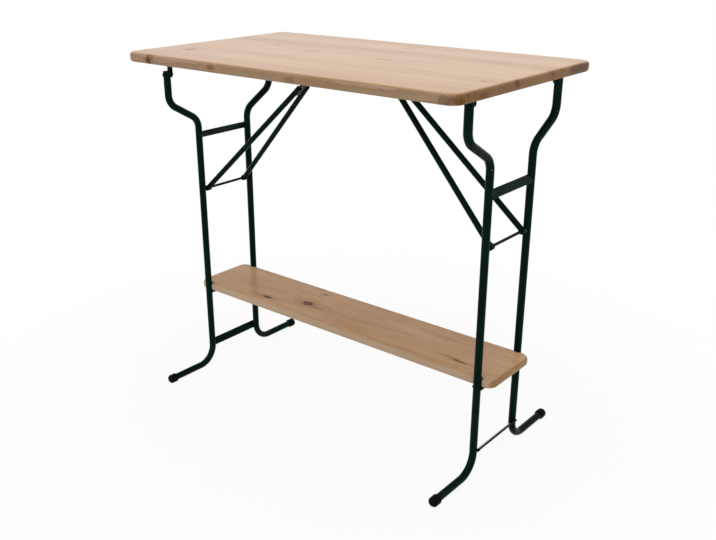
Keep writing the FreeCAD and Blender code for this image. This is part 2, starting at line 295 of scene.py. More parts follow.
@dataclass(frozen=True)
class VarnishedPine(Finish):
    """Glued pine staves along X under a clear varnish, with rings that run through the board.

    Attributes:
        stave_width, stave_shift: Width of a stave, and where the first one starts.
        seed: Number of the first stave in the row of random values.
        knots: The board's knots.
        side_shading_tint, end_grain: Painted light and shade of the upright faces (darker on the top's
            edges, paler on the shelf's front), and the tint of the ends.
        side_shading_fade, end_fade, under_fade: Spans of the normal over which those faces begin.
        varnish, shine: Weight of the clear coat, and gloss of the wood below it.
    """

    stave_width: float
    stave_shift: float
    seed: float
    knots: tuple[Knot, ...]
    pale: Colour = (0.652, 0.436, 0.270, 1.0)
    warm: Colour = (0.492, 0.277, 0.133, 1.0)
    knot_brown: Colour = (0.125, 0.036, 0.007, 1.0)
    halo_orange: Colour = (0.500, 0.220, 0.075, 1.0)
    end_grain: Colour = (0.716, 0.555, 0.333, 1.0)
    # Painted shade: the upright faces are darkened as if less lit than the face of the board.
    side_shading_tint: Colour = (0.703, 0.770, 0.878, 1.0)
    drift_stretch: Triple = (2.0, 11.0, 11.0)
    fibre_stretch: Triple = (9.0, 620.0, 620.0)
    blotch_stretch: Triple = (3.0, 16.0, 16.0)
    drift_bend: float = 0.034
    knot_bend: float = 0.011
    knot_noise: float = 130.0
    knot_raggedness: float = 1.5
    heart_fade: Span = (1.25, 0.75)
    halo_fade: Span = (3.4, 0.9)
    halo_share: float = 0.55
    pith_spread: float = 0.30
    pith_rise: float = 0.09
    pith_depth: float = 0.035
    ring_scale: float = 44.0
    ring_wander: float = 1.1
    ring_detail: float = 2.0
    ring_detail_scale: float = 1.2
    ring_sharpness: float = 2.2
    ring_strength: float = 0.72
    fibre_share: float = 0.55
    blotch_share: float = 0.95
    stave_share: float = 0.70
    warmth: float = 0.16
    # Span of the normal over which the painted light and shade of the upright faces begins.
    side_shading_fade: Span = (0.998, 0.70)
    end_fade: Span = (0.35, 0.85)
    under_fade: Span = (-0.2, -0.8)
    smoothness: float = 0.21
    fibre_dulling: float = 0.10
    bare_dulling: float = 0.55
    varnish: float = 0.04
    varnish_roughness: float = 0.10
    shine: float = 0.08
    ring_relief: float = 0.5
    relief_strength: float = 0.10
    relief_depth: float = 0.0004

    def knot_masks(self, graph: Graph, spot: Sequence[Any], wobble: Any) -> tuple[Any, Any]:
        """Masks of all the knots.

        Args:
            graph: Graph to add to.
            spot: Coordinates along, across and up.
            wobble: Noise that roughens the outlines.

        Returns:
            The dark hearts, and the wider halo that bends the grain.
        """
        heart: Any = 0.0
        halo: Any = 0.0
        for knot in self.knots:
            square: Any = 0.0
            middle = (knot.x, knot.y, knot.z)
            for value, centre, half in zip(spot, middle, (knot.length, knot.width, knot.tall)):
                offset = graph.math("DIVIDE", graph.math("SUBTRACT", value, centre), half)
                square = graph.math("MULTIPLY_ADD", offset, offset, square)
            reach = graph.plus(graph.math("SQRT", square), wobble)
            dark = graph.times(graph.fade(reach, self.heart_fade), knot.depth)
            soft = graph.times(graph.fade(reach, self.halo_fade), knot.depth)
            heart = graph.math("MAXIMUM", heart, dark)
            halo = graph.math("MAXIMUM", halo, soft)
        return heart, halo

    def stave_chances(self, graph: Graph, across: Any) -> Any:
        """Random values of the staves.

        Args:
            graph: Graph to add to.
            across: Coordinate across the board.

        Returns:
            Three values of 0 to 1 that are the same all over a stave.
        """
        count = graph.math("DIVIDE", graph.plus(across, self.stave_shift), self.stave_width)
        number = graph.plus(graph.math("FLOOR", count), self.seed)
        chance = graph.add("ShaderNodeTexWhiteNoise", {"W": number}, noise_dimensions="1D")
        return graph.add("ShaderNodeSeparateColor", {0: chance.outputs["Color"]}).outputs

    def growth_rings(self, graph: Graph, spot: Sequence[Any], chances: Any, bend: Any) -> Any:
        """Growth rings round each stave's own pith.

        Args:
            graph: Graph to add to.
            spot: Coordinates along, across and up.
            chances: The stave's random values.
            bend: How far the grain is pushed aside.

        Returns:
            A value that climbs from 0 to 1 through each ring.
        """
        along, across, up = spot
        pith_y = graph.times(graph.centred(chances[0]), self.pith_spread)
        pith_z = graph.plus(graph.times(chances[1], self.pith_rise), self.pith_depth)
        below_top = graph.math("SUBTRACT", up, CAD_BOX[1][2])
        sideways = graph.plus(graph.plus(across, pith_y), bend)
        upwards = graph.plus(below_top, graph.plus(pith_z, bend))
        inputs = {"Vector": graph.joined(along, sideways, upwards), "Scale": self.ring_scale,
                  "Distortion": self.ring_wander, "Detail": self.ring_detail,
                  "Detail Scale": self.ring_detail_scale}
        kinds = {"wave_type": "RINGS", "rings_direction": "X", "wave_profile": "SAW"}
        return graph.add("ShaderNodeTexWave", inputs, **kinds).outputs["Fac"]

    def dress(self, graph: Surface) -> None:
        """Wire staves, rings, fibres, knots, end grain, painted light and shade on the upright faces, and
        varnish.

        Args:
            graph: Graph of the material.
        """
        place = graph.place
        spot = tuple(graph.parts(place))
        drift = graph.centred(graph.streaks(place, self.drift_stretch, FINE_DETAIL))
        ragged = graph.centred(graph.noise(place, self.knot_noise, FINE_DETAIL))
        heart, halo = self.knot_masks(graph, spot, graph.times(ragged, self.knot_raggedness))
        chances = self.stave_chances(graph, spot[1])
        bend = graph.plus(graph.times(drift, self.drift_bend), graph.times(halo, self.knot_bend))
        rings = self.growth_rings(graph, spot, chances, bend)
        fibres = graph.streaks(place, self.fibre_stretch, FINE_DETAIL)
        blotch = graph.streaks(place, self.blotch_stretch)
        late = graph.times(graph.math("POWER", rings, self.ring_sharpness), self.ring_strength)
        shares = ((fibres, self.fibre_share), (blotch, self.blotch_share), (chances[2], self.stave_share))
        for value, share in shares:
            late = graph.plus(late, graph.times(graph.centred(value), share))
        late = graph.add("ShaderNodeClamp", {0: graph.plus(late, self.warmth)}).outputs[0]
        colour = graph.mix(late, self.pale, self.warm)
        colour = graph.mix(graph.times(halo, self.halo_share), colour, self.halo_orange)
        colour = graph.mix(heart, colour, self.knot_brown)
        facing = graph.parts(graph.add("ShaderNodeNewGeometry").outputs["Normal"])
        painted_side_shading = graph.fade(graph.math("ABSOLUTE", facing[2]), self.side_shading_fade)
        end_face = graph.fade(graph.math("ABSOLUTE", facing[0]), self.end_fade)
        # Painted light and shade: upright faces are tinted darker on the top's edges and paler on the
        # shelf's front, as the lamps would light them.
        colour = graph.tinted(painted_side_shading, colour, self.side_shading_tint)
        graph.give("Base Color", graph.tinted(end_face, colour, self.end_grain))
        dull = graph.plus(graph.times(fibres, self.fibre_dulling), self.smoothness)
        underside = graph.fade(facing[2], self.under_fade)
        dull = graph.math("MULTIPLY_ADD", underside, self.bare_dulling, dull)
        graph.give("Roughness", dull)
        graph.give("Coat Weight", self.varnish)
        graph.give("Coat Roughness", self.varnish_roughness)
        graph.give("Specular IOR Level", self.shine)
        height = graph.plus(graph.times(rings, self.ring_relief), fibres)
        graph.relief(height, self.relief_strength, self.relief_depth)


@dataclass(frozen=True)
class GlossPaint(Finish):
    """Thick dark green paint with orange peel and a few chips, whose grey specks near the bends are also
    painted highlights.

    Attributes:
        bend_heights: Middle and half height of each zone of bends, where chips and painted glints are
            likelier.
        bend_ease: Share of the half height where that zone begins and is full.
        chip_edge, chip_chance: Spans that bound a chip, and that pick the cells with one.
    """

    deep: Colour = (0.0008, 0.0085, 0.0052, 1.0)
    light: Colour = (0.0018, 0.0140, 0.0088, 1.0)
    # Grey of the chips, which near the bends also stands in for glints of light.
    chip_and_glint_grey: Colour = (0.30, 0.31, 0.30, 1.0)
    glint: Colour = (0.55, 1.0, 0.92, 1.0)
    drift_scale: float = 9.0
    drift_detail: float = 4.0
    drift_fade: Span = (0.3, 0.7)
    peel_scale: float = 420.0
    peel_detail: float = 1.0
    chip_scale: float = 110.0
    ragged_scale: float = 900.0
    raggedness: float = 0.10
    bend_heights: tuple[Span, ...] = ((0.030, 0.045), (0.900, 0.070))
    bend_ease: Span = (1.2, 0.8)
    bend_glint_chance: float = 0.07
    chip_edge: Span = (0.16, 0.09)
    chip_chance: Span = (0.985, 0.995)
    smoothness: float = 0.16
    drift_dulling: float = 0.16
    chip_dulling: float = 0.25
    chip_depth: float = 2.0
    shine: float = 0.045
    relief_strength: float = 0.16
    relief_depth: float = 0.0003

    def chips_and_glints(self, graph: Graph, place: Socket) -> Socket:
        """Mask of the chips, which near the bends also paint highlights.

        Args:
            graph: Graph to add to.
            place: Object coordinates.

        Returns:
            1 on a chip or painted glint, 0 on sound paint.
        """
        cells = graph.add("ShaderNodeTexVoronoi", {"Vector": place, "Scale": self.chip_scale})
        chance = graph.add("ShaderNodeSeparateColor", {0: cells.outputs["Color"]}).outputs[0]
        ragged = graph.times(graph.centred(graph.noise(place, self.ragged_scale)), self.raggedness)
        spread = graph.plus(cells.outputs["Distance"], ragged)
        up = graph.parts(place)[2]
        bent: Any = 0.0
        for middle, half in self.bend_heights:
            away = graph.math("ABSOLUTE", graph.math("SUBTRACT", up, middle))
            zone = (half * self.bend_ease[0], half * self.bend_ease[1])
            bent = graph.math("MAXIMUM", bent, graph.fade(away, zone))
        # Painted highlights: chips are made likelier in the zones of bends, where their grey specks stand
        # in for glints.
        likely = graph.math("MULTIPLY_ADD", bent, self.bend_glint_chance, chance)
        return graph.times(graph.fade(spread, self.chip_edge), graph.fade(likely, self.chip_chance))

    def dress(self, graph: Surface) -> None:
        """Wire the colour drift, the orange peel, dust dulling and chips, some of them painted highlights.

        Args:
            graph: Graph of the material.
        """
        place = graph.place
        drift = graph.noise(place, self.drift_scale, self.drift_detail)
        peel = graph.noise(place, self.peel_scale, self.peel_detail)
        chips_and_glints = self.chips_and_glints(graph, place)
        colour = graph.mix(graph.fade(drift, self.drift_fade), self.deep, self.light)
        graph.give("Base Color", graph.mix(chips_and_glints, colour, self.chip_and_glint_grey))
        dull = graph.plus(graph.times(drift, self.drift_dulling), self.smoothness)
        dull = graph.plus(dull, graph.times(chips_and_glints, self.chip_dulling))
        graph.give("Roughness", dull)
        graph.give("Specular IOR Level", self.shine)
        graph.give("Specular Tint", self.glint)
        height = graph.math("SUBTRACT", peel, graph.times(chips_and_glints, self.chip_depth))
        graph.relief(height, self.relief_strength, self.relief_depth)


@dataclass(frozen=True)
class ZincPlate(Finish):
    """Plated steel that has gone a little dull."""

    bright: Colour = (0.150, 0.153, 0.150, 1.0)
    dull: Colour = (0.065, 0.067, 0.065, 1.0)
    crystal_scale: float = 140.0
    crystal_detail: float = 4.0
    crystal_fade: Span = (0.35, 0.7)
    scratch_stretch: Triple = (120.0, 1400.0, 900.0)
    scratch_dulling: float = 0.3
    smoothness: float = 0.2
    relief_strength: float = 0.08
    relief_depth: float = 0.0002

    def dress(self, graph: Surface) -> None:
        """Wire the crystal drift of the plating and its scratches.

        Args:
            graph: Graph of the material.
        """
        place = graph.place
        drift = graph.noise(place, self.crystal_scale, self.crystal_detail)
        crystals = graph.fade(drift, self.crystal_fade)
        scratches = graph.streaks(place, self.scratch_stretch)
        graph.give("Base Color", graph.mix(crystals, self.bright, self.dull))
        rough = graph.plus(graph.times(scratches, self.scratch_dulling), self.smoothness)
        graph.give("Roughness", rough)
        graph.give("Metallic", 1.0)
        graph.relief(scratches, self.relief_strength, self.relief_depth)


@dataclass(frozen=True)
class MouldedRubber(Finish):
    """Black rubber with a fine moulded skin and floor dust near the ground."""

    black: Colour = (0.0022, 0.0021, 0.0019, 1.0)
    dust: Colour = (0.020, 0.018, 0.016, 1.0)
    dust_fade: Span = (0.010, 0.0)
    dust_scale: float = 160.0
    grain_scale: float = 700.0
    grain_dulling: float = 0.2
    smoothness: float = 0.42
    shine: float = 0.05
    relief_strength: float = 0.25
    relief_depth: float = 0.0003

    def dress(self, graph: Surface) -> None:
        """Wire the skin's grain and the dust that fades out above the floor.

        Args:
            graph: Graph of the material.
        """
        place = graph.place
        grain = graph.noise(place, self.grain_scale, FINE_DETAIL)
        low = graph.fade(graph.parts(place)[2], self.dust_fade)
        dusty = graph.times(low, graph.noise(place, self.dust_scale, FINE_DETAIL))
        graph.give("Base Color", graph.mix(dusty, self.black, self.dust))
        rough = graph.plus(graph.times(grain, self.grain_dulling), self.smoothness)
        graph.give("Roughness", rough)
        graph.give("Specular IOR Level", self.shine)
        graph.relief(grain, self.relief_strength, self.relief_depth)


@dataclass(frozen=True)
class Palette:
    """The table's materials."""

    top_wood: Material
    shelf_wood: Material
    paint: Material
    zinc: Material
    rubber: Material


def link_object(name: str, mesh: bpy.types.Mesh) -> bpy.types.Object:
    """Put a mesh into the scene as an object at the origin.

    Args:
        name: Name of the object.
        mesh: Mesh with its place in it.

    Returns:
        The new object.
    """
    piece = bpy.data.objects.new(name, mesh)
    bpy.context.scene.collection.objects.link(piece)
    return piece


@dataclass(frozen=True)
class Skin:
    """Row of sections with equal point counts; a looped one joins its last section to its first."""

    sections: Sequence[Section]
    looped: bool = False


def loft(name: str, skins: Iterable[Skin]) -> bpy.types.Object:
    """Closed surfaces through rows of sections.

    Args:
        name: Name of the piece.
        skins: The surfaces; one that isn't looped is closed by a face at each end.

    Returns:
        One smooth-shaded object with its normals outwards.
    """
    shape = bmesh.new()
    for skin in skins:
        rings = [[shape.verts.new(point) for point in section] for section in skin.sections]
        if skin.looped:
            rings.append(rings[0])
        else:
            shape.faces.new(list(reversed(rings[0])))
            shape.faces.new(rings[-1])
        count = len(rings[0])
        for lower, upper in zip(rings, rings[1:]):
            for here in range(count):
                after = (here + 1) % count
                shape.faces.new((lower[here], lower[after], upper[after], upper[here]))
    bmesh.ops.recalc_face_normals(shape, faces=shape.faces)
    for face in shape.faces:
        face.smooth = True
    mesh = bpy.data.meshes.new(name)
    shape.to_mesh(mesh)
    shape.free()
    mesh.set_sharp_from_angle(angle=SHARP_ANGLE)
    return link_object(name, mesh)


def ring(centre: Vector, across: Vector, up: Vector, steps: int = ROUND_STEPS) -> Section:
    """Points of an ellipse with two half axes."""
    turns = [2.0 * math.pi * step / steps for step in range(steps)]
    return [centre + across * math.cos(turn) + up * math.sin(turn) for turn in turns]


def turned(origin: Vector, axis: Vector, profile: Sequence[Span],
           steps: int = ROUND_STEPS) -> list[Section]:
    """Sections of a turned piece.

    Args:
        origin: Point that distances are counted from.
        axis: Unit direction of the turning axis.
        profile: Pairs of distance along the axis and radius.
        steps: Points round the axis.

    Returns:
        One ring for each pair.
    """
    across = axis.orthogonal().normalized()
    up = axis.cross(across)
    return [ring(origin + axis * along, across * radius, up * radius, steps) for along, radius in profile]


def quarter_turn(steps: int) -> list[float]:
    """Angles of a quarter circle in equal steps."""
    return [math.pi / 2.0 * step / steps for step in range(steps + 1)]


def eased_rim(radius: float, edge: float, steps: int) -> Pairs:
    """Profile of a cylinder's eased rim.

    Args:
        radius: Radius of the cylinder.
        edge: Radius of the rim's rounding.
        steps: Steps in the rounding.

    Returns:
        Pairs of distance from the end and radius.
    """
    return [(edge - edge * math.cos(turn), radius - edge + edge * math.sin(turn))
            for turn in quarter_turn(steps)]


def rounded_profile(length: float, radius: float, edge: float, steps: int = 4) -> Pairs:
    """Profile of a cylinder whose two rims are eased."""
    start = eased_rim(radius, edge, steps)
    return start + [(length - along, wide) for along, wide in reversed(start)]


def rounded_rectangle(width: float, height: float, radius: float, steps: int = 4) -> Pairs:
    """Outline of a rectangle with round corners, centred on zero.

    Args:
        width, height: Full sizes.
        radius: Radius of the corners.
        steps: Steps in each corner.

    Returns:
        Points anticlockwise from the right side.
    """
    points = []
    corners = ((1, 1, 0.0), (-1, 1, 90.0), (-1, -1, 180.0), (1, -1, 270.0))
    for right, above, start in corners:
        for step in range(steps + 1):
            turn = math.radians(start + 90.0 * step / steps)
            points.append((right * (width / 2.0 - radius) + radius * math.cos(turn),
                           above * (height / 2.0 - radius) + radius * math.sin(turn)))
    return points


def rounded_route(points: Sequence[Vector], radii: Sequence[float]) -> list[tuple[Vector, Vector]]:
    """Route through points with round corners.

    Args:
        points: Corners of the route.
        radii: Radius at each inner corner.

    Returns:
        Pairs of place and unit direction along the route.
    """
    first = (points[1] - points[0]).normalized()
    route = [(points[0].copy(), first)]
    for before, corner, after, radius in zip(points, points[1:], points[2:], radii):
        inward = (corner - before).normalized()
        onward = (after - corner).normalized()
        turn = inward.angle(onward)
        setback = radius * math.tan(turn / 2.0)
        start = corner - inward * setback
        centre = start + (onward - inward * onward.dot(inward)).normalized() * radius
        axis = inward.cross(onward).normalized()
        for step in range(ARC_STEPS + 1):
            swing = Matrix.Rotation(turn * step / ARC_STEPS, 3, axis)
            route.append((centre + swing @ (start - centre), swing @ inward))
    last = (points[-1] - points[-2]).normalized()
    return route + [(points[-1].copy(), last)]


def paint_piece(piece: bpy.types.Object, material: Material, slot: Slot, body: Body,
                *nodes: str) -> None:
    """Finish a modelled piece.

    Args:
        piece: The piece's object.
        material: What it is made of.
        slot: The CAD slot of that material; not used.
        body: The body it rides on.
        nodes: The CAD nodes it stands for.
    """
    piece.data.materials.clear()
    piece.data.materials.append(material)
    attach(piece, body.value)
    if nodes:
        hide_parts(*nodes)
    LOG.info("%s rides on %s", piece.name, body.value)


def paint_node(node: str, material: Material) -> None:
    """Give a CAD node that keeps its shape a better material.

    Args:
        node: Name of the node.
        material: Its new material.
    """
    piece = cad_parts[node]
    for slot in piece.material_slots:
        slot.material = material
    LOG.info("%s keeps its shape", node)


class PointTree:
    """Geometry Nodes tree that sets one shape at many points and realises it."""

    def __init__(self, name: str, material: Material) -> None:
        """Start the tree with its geometry sockets.

        Args:
            name: Name of the tree.
            material: Material of everything it makes.
        """
        self.tree = bpy.data.node_groups.new(name, "GeometryNodeTree")
        for direction in ("INPUT", "OUTPUT"):
            self.tree.interface.new_socket("Geometry", in_out=direction, socket_type="NodeSocketGeometry")
        self.graph = Graph(self.tree)
        self.entry = self.graph.add("NodeGroupInput")
        self.material = material
        self.identifiers: dict[str, str] = {}

    def size(self, name: str) -> Socket:
        """Add a named size input.

        Args:
            name: Name of the input.

        Returns:
            Its socket inside the tree.
        """
        item = self.tree.interface.new_socket(name, in_out="INPUT", socket_type="NodeSocketFloat")
        self.identifiers[name] = item.identifier
        return self.entry.outputs[name]

    def close(self, points: Any, shape: Any, scale: Any = (1.0, 1.0, 1.0)) -> None:
        """Finish the tree: instance, realise, smooth and set the material.

        Args:
            points: Points to set the shape at.
            shape: The shape.
            scale: Scale at each point.
        """
        inputs = {"Points": points, "Instance": shape, "Scale": scale}
        placed = self.graph.add("GeometryNodeInstanceOnPoints", inputs)
        real = self.graph.add("GeometryNodeRealizeInstances", {0: placed.outputs[0]})
        smooth = self.graph.add("GeometryNodeSetShadeSmooth", {"Geometry": real.outputs[0]})
        inputs = {"Geometry": smooth.outputs[0], "Material": self.material}
        dressed = self.graph.add("GeometryNodeSetMaterial", inputs)
        self.graph.add("NodeGroupOutput", {0: dressed.outputs[0]})

    def grow(self, name: str, seeds: bpy.types.Mesh, sizes: dict[str, float]) -> bpy.types.Object:
        """Run the tree on a seed mesh.

        Args:
            name: Name of the piece.
            seeds: Mesh with the points or lines to work on.
            sizes: Value of each named input, in metres.

        Returns:
            A plain mesh object with no modifier.
        """
        source = link_object(name + "_seeds", seeds)
        modifier = source.modifiers.new("grow", "NODES")
        modifier.node_group = self.tree
        for label, value in sizes.items():
            modifier[self.identifiers[label]] = value
        depsgraph = bpy.context.evaluated_depsgraph_get()
        mesh = bpy.data.meshes.new_from_object(source.evaluated_get(depsgraph))
        bpy.data.objects.remove(source)
        mesh.name = name
        mesh.set_sharp_from_angle(angle=SHARP_ANGLE)
        return link_object(name, mesh)


@dataclass(frozen=True)
class Board:
    """A wooden board with rounded corners and eased edges."""

    node: str
    body: Body
    corner_radius: float
    edge_radius: float
    corner_steps: int = 12
    flat_margin: float = 0.002

    def outline(self, inset: float) -> Pairs:
        """Plan outline of the board.

        Args:
            inset: How far it is set in from the board's sides.

        Returns:
            Points anticlockwise from the right end.
        """
        low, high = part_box(self.node)
        width = high[0] - low[0] - 2.0 * inset
        depth = high[1] - low[1] - 2.0 * inset
        return rounded_rectangle(width, depth, self.corner_radius - inset, self.corner_steps)

    def build(self, material: Material) -> None:
        """Loft the board from its underside to its face and dress it.

        Args:
            material: Its wood.
        """
        low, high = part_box(self.node)
        edge = self.edge_radius
        rows = [(edge + self.flat_margin, 0.0)]
        rows += [(edge * (1.0 - math.sin(turn)), edge * (1.0 - math.cos(turn)))
                 for turn in quarter_turn(EDGE_STEPS)]
        sections = [(inset, low[2] + rise) for inset, rise in rows]
        sections += [(inset, high[2] - rise) for inset, rise in reversed(rows)]
        rings = [[Vector((x, y, z)) for x, y in self.outline(inset)] for inset, z in sections]
        piece = loft(self.node + "_board", [Skin(rings)])
        paint_piece(piece, material, Slot.PINE, self.body, self.node)


@dataclass(frozen=True)
class NotchedBoard(Board):
    """A board with a notch round each of the four leg tubes."""

    notch_half: float = 0.013
    notch_floor_y: float = 0.0915
    notch_radius: float = 0.004

    def outline(self, inset: float) -> Pairs:
        """Plan outline with straight notches.

        Args:
            inset: How far the ends and sides are set in; the notches stay.

        Returns:
            Points anticlockwise from the right end.
        """
        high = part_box(self.node)[1]
        side_y = high[1] - inset
        radius = self.corner_radius - inset
        middle_x = high[0] - self.corner_radius
        quarter = [(middle_x + radius * math.cos(turn), side_y - radius + radius * math.sin(turn))
                   for turn in quarter_turn(self.corner_steps)]
        bend = self.notch_radius
        outer_x, inner_x = HINGE_X + self.notch_half, HINGE_X - self.notch_half
        quarter.append((outer_x, side_y))
        for centre_x, start in ((outer_x - bend, 0.0), (inner_x + bend, -math.pi / 2.0)):
            quarter += [(centre_x + bend * math.cos(start - turn),
                         self.notch_floor_y + bend + bend * math.sin(start - turn))
                        for turn in quarter_turn(EDGE_STEPS)]
        quarter.append((inner_x, side_y))
        upper = quarter + [(-x, y) for x, y in reversed(quarter)]
        return upper + [(-x, -y) for x, y in upper]


@dataclass(frozen=True)
class EndAssembly:
    """Pieces at one end of the table, placed by that end's hinge."""

    side: Side
    hinge_z: float

    @property
    def plane_x(self) -> float:
        """Where the hinge and the leg frame stand along X."""
        return self.side.sign * HINGE_X

    @property
    def rod_z(self) -> float:
        """Height of the rod that the brace swings on."""
        return self.hinge_z - ROD_DROP

    def shape(self, piece: str, way: str, skins: Sequence[Skin], material: Material, slot: Slot,
              body: Body = Body.TABLE_FRAME) -> None:
        """Loft a piece and finish it.

        Args:
            piece: The piece's name without its end.
            way: Word for how it is made, which ends the object's name.
            skins: Its surfaces.
            material: What it is made of.
            slot: The CAD slot of that material.
            body: The body it rides on.
        """
        node = self.side.node(piece)
        paint_piece(loft(f"{node}_{way}", skins), material, slot, body, node)


@dataclass(frozen=True)
class FlatBar:
    """A flat bar across a leg frame.

    Attributes:
        height: Height of its middle.
        width: Width of its flat.
        tilt: How far it leans inwards at the top, in degrees.
        offset: How far it sits outside the tubes' plane.
    """

    height: float
    width: float
    tilt: float
    offset: float


@dataclass(frozen=True)
class LegFrame(EndAssembly):
    """One bent-tube leg frame with its caps, bars, rod and weld seams.

    Attributes:
        top_oval: How much wider along X the tubes are near their tops, as a share.
        bar_end_short: Least distance of a bar's end from the tubes' middle lines.
        bar_bite: How far a bar's end goes into the tubes' faces.
        rest_weld: First angle, step and count of the points of a shelf rest's weld, in degrees.
    """

    wide_y: float = 0.212
    narrow_y: float = 0.104
    tube_radius: float = 0.0105
    tube_wall: float = 0.0015
    tube_above_hinge: float = 0.010
    shoulder_drop: float = 0.1175
    shoulder_half: float = 0.03118
    shoulder_bend: float = 0.045
    top_oval: float = 0.08
    foot_bend: float = 0.058
    cap_radius: float = 0.014
    cap_length: float = 0.026
    cap_end_y: float = 0.297
    cap_base: float = 0.0035
    cap_edge: float = 0.0080
    cap_edge_steps: int = 5
    groove_starts: Span = (0.0145, 0.0190)
    groove_depth: float = 0.0007
    lip_edge: float = 0.0012
    push_fit: float = 0.00002
    bar_thickness: float = 0.005
    bar_edge: float = 0.0012
    bar_end_short: float = 0.005
    bar_bite: float = 0.0006
    rod_radius: float = 0.004
    rest_bottom: float = 0.265
    rest_weld: tuple[float, float, int] = (20.0, 10.0, 15)
    upper_bar: FlatBar = FlatBar(0.792, 0.024, 30.0, 0.004)
    lower_bar: FlatBar = FlatBar(0.0745, 0.025, -45.0, 0.007)

    def tube(self, row: Row, material: Material) -> None:
        """Sweep one hollow leg tube, open at the top and ending inside its cap.

        Args:
            row: Long side that the tube is on.
            material: Its paint.
        """
        shoulder = self.hinge_z - self.shoulder_drop
        places = [(self.wide_y, self.hinge_z + self.tube_above_hinge),
                  (self.wide_y, shoulder + self.shoulder_half),
                  (self.narrow_y, shoulder - self.shoulder_half),
                  (self.narrow_y, self.cap_radius),
                  (self.cap_end_y - self.cap_base, self.cap_radius)]
        corners = [Vector((self.plane_x, row.sign * across, z)) for across, z in places]
        route = rounded_route(corners, [self.shoulder_bend, self.shoulder_bend, self.foot_bend])
        oval_above = shoulder + self.shoulder_half / 2.0
        inside = self.tube_radius - self.tube_wall
        sections = []
        for radius, stations in ((self.tube_radius, route), (inside, route[::-1])):
            for place, along in stations:
                oval = 1.0 + self.top_oval if place.z > oval_above else 1.0
                sections.append(ring(place, LENGTHWAYS * radius * oval, along.cross(LENGTHWAYS) * radius))
        skins = [Skin(sections, looped=True)]
        self.shape(f"{row.value}_leg_tube", "swept", skins, material, Slot.PAINT)

    def cap(self, row: Row, material: Material) -> None:
        """Turn one rubber cap with two grooves, a lip and a socket for the tube.

        Args:
            row: Long side that the cap is on.
            material: Its rubber.
        """
        origin = Vector((self.plane_x, row.sign * self.cap_end_y, self.cap_radius))
        wide = self.cap_radius
        depth = self.groove_depth
        profile = eased_rim(wide, self.cap_edge, self.cap_edge_steps)
        for start in self.groove_starts:
            profile += [(start, wide), (start + depth, wide - depth),
                        (start + 2.0 * depth, wide - depth), (start + 3.0 * depth, wide)]
        profile += [(self.cap_length - self.lip_edge, wide), (self.cap_length, wide - self.lip_edge)]
        socket = self.tube_radius + self.push_fit
        profile += [(self.cap_length, socket), (self.cap_base, socket)]
        skins = [Skin(turned(origin, CROSSWAYS * -row.sign, profile))]
        self.shape(f"{row.value}_foot_cap", "turned", skins, material, Slot.RUBBER)

    def bar_outline(self, bar: FlatBar) -> Pairs:
        """Outline of a tilted flat bar.

        Args:
            bar: The bar.

        Returns:
            Places along X and in height.
        """
        lean = math.radians(-bar.tilt)
        flat = rounded_rectangle(self.bar_thickness, bar.width, self.bar_edge)
        leaning = [(a * math.cos(lean) + b * math.sin(lean), b * math.cos(lean) - a * math.sin(lean))
                   for a, b in flat]
        return [(self.plane_x + self.side.sign * (bar.offset + x), bar.height + z) for x, z in leaning]

    def tube_face(self, x: float) -> float:
        """Distance of the tubes' inner faces from the middle.

        Args:
            x: Place across the tubes.

        Returns:
            Distance along Y.
        """
        away = min(abs(x - self.plane_x), self.tube_radius)
        reach = math.sqrt(self.tube_radius ** 2 - away ** 2)
        return self.narrow_y - max(reach, self.bar_end_short)

    def bars(self, material: Material) -> None:
        """Loft the two flat bars between the tubes.

        Args:
            material: Their paint.
        """
        for name, bar in (("upper_bar", self.upper_bar), ("lower_bar", self.lower_bar)):
            outline = self.bar_outline(bar)
            sections = [[Vector((x, sign * (self.tube_face(x) + self.bar_bite), z)) for x, z in outline]
                        for sign in BOTH_WAYS]
            self.shape(name, "flat", [Skin(sections)], material, Slot.PAINT)

    def rod(self, material: Material) -> None:
        """Turn the rod that the brace swings on.

        Args:
            material: Its paint.
        """
        origin = Vector((self.plane_x, -self.narrow_y, self.rod_z))
        profile = [(0.0, self.rod_radius), (2.0 * self.narrow_y, self.rod_radius)]
        skins = [Skin(turned(origin, CROSSWAYS, profile, THIN_STEPS))]
        self.shape("brace_rod", "turned", skins, material, Slot.PAINT)

    def seams(self) -> list[Section]:
        """Lines that the weld beads follow.

        Returns:
            One line for each end of a bar, end of the rod and shelf rest.
        """
        lines = []
        wide = self.tube_radius
        first, step, count = self.rest_weld
        turns = [math.radians(first + step * number) for number in range(count)]
        for sign in BOTH_WAYS:
            for bar in (self.upper_bar, self.lower_bar):
                outline = self.bar_outline(bar)
                lines.append([Vector((x, sign * self.tube_face(x), z)) for x, z in outline + outline[:1]])
            rod_end = Vector((self.plane_x, sign * (self.narrow_y - wide), self.rod_z))
            upwards = Vector((0.0, 0.0, self.rod_radius))
            loop = ring(rod_end, LENGTHWAYS * self.rod_radius, upwards, LOOP_STEPS)
            lines.append(loop + loop[:1])
            lines.append([Vector((self.plane_x + wide * math.cos(turn),
                                  sign * (self.narrow_y - wide * math.sin(turn)), self.rest_bottom))
                          for turn in turns])
        return lines

    def build(self, palette: Palette) -> None:
        """Build and dress every piece of the frame.

        Args:
            palette: The table's materials.
        """
        for row in Row:
            self.tube(row, palette.paint)
            self.cap(row, palette.rubber)
            paint_node(self.side.node(f"{row.value}_shelf_rest"), palette.paint)
        self.bars(palette.paint)
        self.rod(palette.paint)


